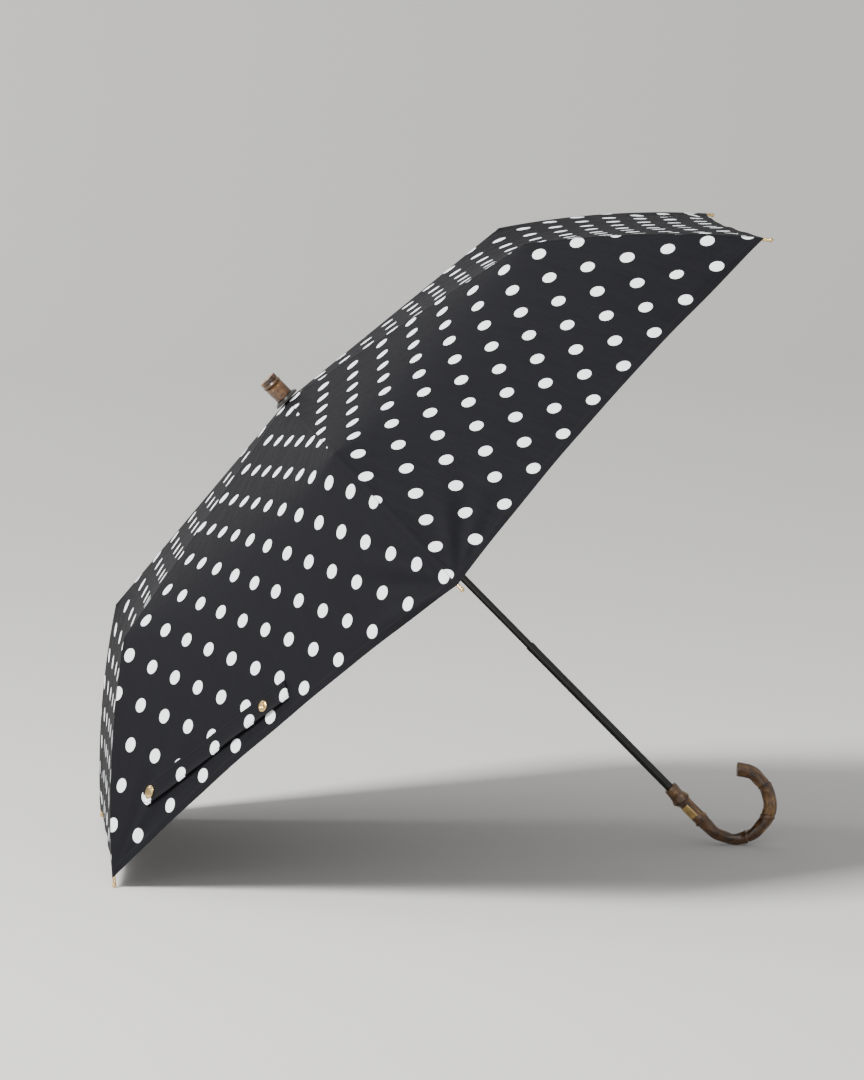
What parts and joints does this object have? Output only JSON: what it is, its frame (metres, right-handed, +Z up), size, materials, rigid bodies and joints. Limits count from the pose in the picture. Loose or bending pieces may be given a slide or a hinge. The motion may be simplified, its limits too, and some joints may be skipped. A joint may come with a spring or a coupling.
{
  "type": "folding umbrella",
  "caption": "Open compact umbrella lying on its side: a dotted canopy on folding three-piece ribs, a telescoping shaft and a bamboo crook handle.",
  "frame": {"origin": "on the floor under the middle of the open umbrella, which lies on two rib tips and its crook", "axes": "+Z up from the floor; +X along the floor from the canopy's crown side towards the handle; +Y across the umbrella, its widest way; the umbrella mirrors in the plane Y = 0"},
  "size_m": [0.5947, 0.9046, 0.5513],
  "materials": {
    "black_fabric": "matte woven cloth with a printed pattern of white dots",
    "black_steel": "semi-gloss black lacquer",
    "bamboo": "lacquered bamboo, scorched in patches",
    "brass": "polished"
  },
  "bodies": {
    "handle": {"handle": "bamboo", "handle_plate": "brass", "plate_pins": "brass", "lower_tube": "black_steel", "lower_collar": "black_steel"},
    "middle_tube": {"middle_tube": "black_steel", "middle_collar": "black_steel"},
    "upper_tube": {"upper_tube": "black_steel", "crown_hub": "black_steel", "crown_cap": "black_steel", "ferrule": "bamboo"},
    "runner": {"runner": "black_steel"},
    "runner_button": {"runner_button": "black_steel"},
    "inner_rib_0": {"inner_rib_0": "black_steel", "canopy_inner_0": "black_fabric"},
    "inner_rib_1": {"inner_rib_1": "black_steel", "canopy_inner_1": "black_fabric"},
    "inner_rib_2": {"inner_rib_2": "black_steel", "canopy_inner_2": "black_fabric"},
    "inner_rib_3": {"inner_rib_3": "black_steel", "canopy_inner_3": "black_fabric"},
    "inner_rib_4": {"inner_rib_4": "black_steel", "canopy_inner_4": "black_fabric"},
    "inner_rib_5": {"inner_rib_5": "black_steel", "canopy_inner_5": "black_fabric"},
    "middle_rib_0": {"middle_rib_0": "black_steel"},
    "middle_rib_1": {"middle_rib_1": "black_steel"},
    "middle_rib_2": {"middle_rib_2": "black_steel"},
    "middle_rib_3": {"middle_rib_3": "black_steel"},
    "middle_rib_4": {"middle_rib_4": "black_steel"},
    "middle_rib_5": {"middle_rib_5": "black_steel"},
    "outer_rib_0": {"outer_rib_0": "black_steel", "rib_tip_0": "brass", "canopy_outer_0": "black_fabric"},
    "outer_rib_1": {"outer_rib_1": "black_steel", "rib_tip_1": "brass", "canopy_outer_1": "black_fabric"},
    "outer_rib_2": {"outer_rib_2": "black_steel", "rib_tip_2": "brass", "canopy_outer_2": "black_fabric"},
    "outer_rib_3": {"outer_rib_3": "black_steel", "rib_tip_3": "brass", "canopy_outer_3": "black_fabric"},
    "outer_rib_4": {"outer_rib_4": "black_steel", "rib_tip_4": "brass", "canopy_outer_4": "black_fabric"},
    "outer_rib_5": {"outer_rib_5": "black_steel", "rib_tip_5": "brass", "canopy_outer_5": "black_fabric", "strap": "black_fabric", "strap_snap": "brass", "strap_stud": "brass"},
    "stretcher_0": {"stretcher_0": "black_steel"},
    "stretcher_1": {"stretcher_1": "black_steel"},
    "stretcher_2": {"stretcher_2": "black_steel"},
    "stretcher_3": {"stretcher_3": "black_steel"},
    "stretcher_4": {"stretcher_4": "black_steel"},
    "stretcher_5": {"stretcher_5": "black_steel"}
  },
  "joints": [
    {"name": "middle_tube_slide", "type": "slide", "parent": "handle", "child": "middle_tube", "axis": [0.699, 0, -0.7151], "range_m": [0, 0.14]},
    {"name": "upper_tube_slide", "type": "slide", "parent": "middle_tube", "child": "upper_tube", "axis": [0.699, 0, -0.7151], "range_m": [0, 0.13]},
    {"name": "canopy_fold", "type": "hinge", "parent": "upper_tube", "child": "inner_rib_0", "pos_m": [-0.13101, -0.008, 0.39213], "axis": [0.7151, 0, 0.699], "range_deg": [0, 77.62], "deforming": ["canopy_inner_0", "canopy_inner_1", "canopy_inner_2", "canopy_inner_3", "canopy_inner_4", "canopy_inner_5", "canopy_outer_0", "canopy_outer_1", "canopy_outer_2", "canopy_outer_3", "canopy_outer_4", "canopy_outer_5", "strap", "strap_snap", "strap_stud"]},
    {"name": "rib_1_crown", "type": "hinge", "parent": "upper_tube", "child": "inner_rib_1", "pos_m": [-0.12606, -0.004, 0.39698], "axis": [0.3575, 0.866, 0.3495], "range_deg": [0, 77.67]},
    {"name": "rib_2_crown", "type": "hinge", "parent": "upper_tube", "child": "inner_rib_2", "pos_m": [-0.12606, 0.004, 0.39698], "axis": [-0.3575, 0.866, -0.3495], "range_deg": [0, 77.67]},
    {"name": "rib_3_crown", "type": "hinge", "parent": "upper_tube", "child": "inner_rib_3", "pos_m": [-0.13101, 0.008, 0.39213], "axis": [-0.7151, 0, -0.699], "range_deg": [0, 77.67]},
    {"name": "rib_4_crown", "type": "hinge", "parent": "upper_tube", "child": "inner_rib_4", "pos_m": [-0.13597, 0.004, 0.38729], "axis": [-0.3575, -0.866, -0.3495], "range_deg": [0, 77.67]},
    {"name": "rib_5_crown", "type": "hinge", "parent": "upper_tube", "child": "inner_rib_5", "pos_m": [-0.13597, -0.004, 0.38729], "axis": [0.3575, -0.866, 0.3495], "range_deg": [0, 77.67]},
    {"name": "rib_0_elbow", "type": "hinge", "parent": "inner_rib_0", "child": "middle_rib_0", "pos_m": [-0.1215, -0.14232, 0.3824], "axis": [0.7151, 0, 0.699], "range_deg": [-175.55, 0]},
    {"name": "rib_1_elbow", "type": "hinge", "parent": "inner_rib_1", "child": "middle_rib_1", "pos_m": [-0.03336, -0.07116, 0.46856], "axis": [0.3575, 0.866, 0.3495], "range_deg": [-175.55, 0]},
    {"name": "rib_2_elbow", "type": "hinge", "parent": "inner_rib_2", "child": "middle_rib_2", "pos_m": [-0.03336, 0.07116, 0.46856], "axis": [-0.3575, 0.866, -0.3495], "range_deg": [-175.55, 0]},
    {"name": "rib_3_elbow", "type": "hinge", "parent": "inner_rib_3", "child": "middle_rib_3", "pos_m": [-0.1215, 0.14232, 0.3824], "axis": [-0.7151, 0, -0.699], "range_deg": [-175.55, 0]},
    {"name": "rib_4_elbow", "type": "hinge", "parent": "inner_rib_4", "child": "middle_rib_4", "pos_m": [-0.20963, 0.07116, 0.29624], "axis": [-0.3575, -0.866, -0.3495], "range_deg": [-175.55, 0]},
    {"name": "rib_5_elbow", "type": "hinge", "parent": "inner_rib_5", "child": "middle_rib_5", "pos_m": [-0.20963, -0.07116, 0.29624], "axis": [0.3575, -0.866, 0.3495], "range_deg": [-175.55, 0]},
    {"name": "rib_0_bend", "type": "hinge", "parent": "middle_rib_0", "child": "outer_rib_0", "pos_m": [-0.10903, -0.27657, 0.36965], "axis": [0.7151, 0, 0.699], "range_deg": [0, 145.15]},
    {"name": "rib_1_bend", "type": "hinge", "parent": "middle_rib_1", "child": "outer_rib_1", "pos_m": [0.06225, -0.13829, 0.53708], "axis": [0.3575, 0.866, 0.3495], "range_deg": [0, 145.15]},
    {"name": "rib_2_bend", "type": "hinge", "parent": "middle_rib_2", "child": "outer_rib_2", "pos_m": [0.06225, 0.13829, 0.53708], "axis": [-0.3575, 0.866, -0.3495], "range_deg": [0, 145.15]},
    {"name": "rib_3_bend", "type": "hinge", "parent": "middle_rib_3", "child": "outer_rib_3", "pos_m": [-0.10903, 0.27657, 0.36965], "axis": [-0.7151, 0, -0.699], "range_deg": [0, 145.15]},
    {"name": "rib_4_bend", "type": "hinge", "parent": "middle_rib_4", "child": "outer_rib_4", "pos_m": [-0.28031, 0.13829, 0.20221], "axis": [-0.3575, -0.866, -0.3495], "range_deg": [0, 145.15]},
    {"name": "rib_5_bend", "type": "hinge", "parent": "middle_rib_5", "child": "outer_rib_5", "pos_m": [-0.28031, -0.13829, 0.20221], "axis": [0.3575, -0.866, 0.3495], "range_deg": [0, 145.15]},
    {"name": "runner_slide", "type": "slide", "parent": "upper_tube", "child": "runner", "axis": [0.699, 0, -0.7151], "range_m": [0, 0.10096]},
    {"name": "stretcher_0_foot", "type": "hinge", "parent": "runner", "child": "stretcher_0", "pos_m": [-0.08314, -0.009, 0.34316], "axis": [0.7151, 0, 0.699], "range_deg": [-46.64, 0]},
    {"name": "stretcher_1_foot", "type": "hinge", "parent": "runner", "child": "stretcher_1", "pos_m": [-0.07757, -0.0045, 0.34861], "axis": [0.3575, 0.866, 0.3495], "range_deg": [-46.64, 0]},
    {"name": "stretcher_2_foot", "type": "hinge", "parent": "runner", "child": "stretcher_2", "pos_m": [-0.07757, 0.0045, 0.34861], "axis": [-0.3575, 0.866, -0.3495], "range_deg": [-46.64, 0]},
    {"name": "stretcher_3_foot", "type": "hinge", "parent": "runner", "child": "stretcher_3", "pos_m": [-0.08314, 0.009, 0.34316], "axis": [-0.7151, 0, -0.699], "range_deg": [-46.64, 0]},
    {"name": "stretcher_4_foot", "type": "hinge", "parent": "runner", "child": "stretcher_4", "pos_m": [-0.08872, 0.0045, 0.33771], "axis": [-0.3575, -0.866, -0.3495], "range_deg": [-46.64, 0]},
    {"name": "stretcher_5_foot", "type": "hinge", "parent": "runner", "child": "stretcher_5", "pos_m": [-0.08872, -0.0045, 0.33771], "axis": [0.3575, -0.866, 0.3495], "range_deg": [-46.64, 0]},
    {"name": "button_press", "type": "slide", "parent": "runner", "child": "runner_button", "axis": [0.7151, 0, 0.699], "range_m": [0, 0.0012], "stiffness_N_per_m": 600, "springref_m": -0.0008}
  ],
  "couplings": [
    {"joint": "rib_1_crown", "follows": "canopy_fold", "ratio": 1},
    {"joint": "rib_2_crown", "follows": "canopy_fold", "ratio": 1},
    {"joint": "rib_3_crown", "follows": "canopy_fold", "ratio": 1},
    {"joint": "rib_4_crown", "follows": "canopy_fold", "ratio": 1},
    {"joint": "rib_5_crown", "follows": "canopy_fold", "ratio": 1},
    {"joint": "rib_0_elbow", "follows": "canopy_fold", "ratio": -2.2611},
    {"joint": "rib_1_elbow", "follows": "canopy_fold", "ratio": -2.2611},
    {"joint": "rib_2_elbow", "follows": "canopy_fold", "ratio": -2.2611},
    {"joint": "rib_3_elbow", "follows": "canopy_fold", "ratio": -2.2611},
    {"joint": "rib_4_elbow", "follows": "canopy_fold", "ratio": -2.2611},
    {"joint": "rib_5_elbow", "follows": "canopy_fold", "ratio": -2.2611},
    {"joint": "rib_0_bend", "follows": "canopy_fold", "ratio": 1.8694},
    {"joint": "rib_1_bend", "follows": "canopy_fold", "ratio": 1.8694},
    {"joint": "rib_2_bend", "follows": "canopy_fold", "ratio": 1.8694},
    {"joint": "rib_3_bend", "follows": "canopy_fold", "ratio": 1.8694},
    {"joint": "rib_4_bend", "follows": "canopy_fold", "ratio": 1.8694},
    {"joint": "rib_5_bend", "follows": "canopy_fold", "ratio": 1.8694},
    {"joint": "runner_slide", "follows": "canopy_fold", "m_per_rad": 0.074452},
    {"joint": "stretcher_0_foot", "follows": "canopy_fold", "ratio": -0.60026},
    {"joint": "stretcher_1_foot", "follows": "canopy_fold", "ratio": -0.60026},
    {"joint": "stretcher_2_foot", "follows": "canopy_fold", "ratio": -0.60026},
    {"joint": "stretcher_3_foot", "follows": "canopy_fold", "ratio": -0.60026},
    {"joint": "stretcher_4_foot", "follows": "canopy_fold", "ratio": -0.60026},
    {"joint": "stretcher_5_foot", "follows": "canopy_fold", "ratio": -0.60026}
  ]
}
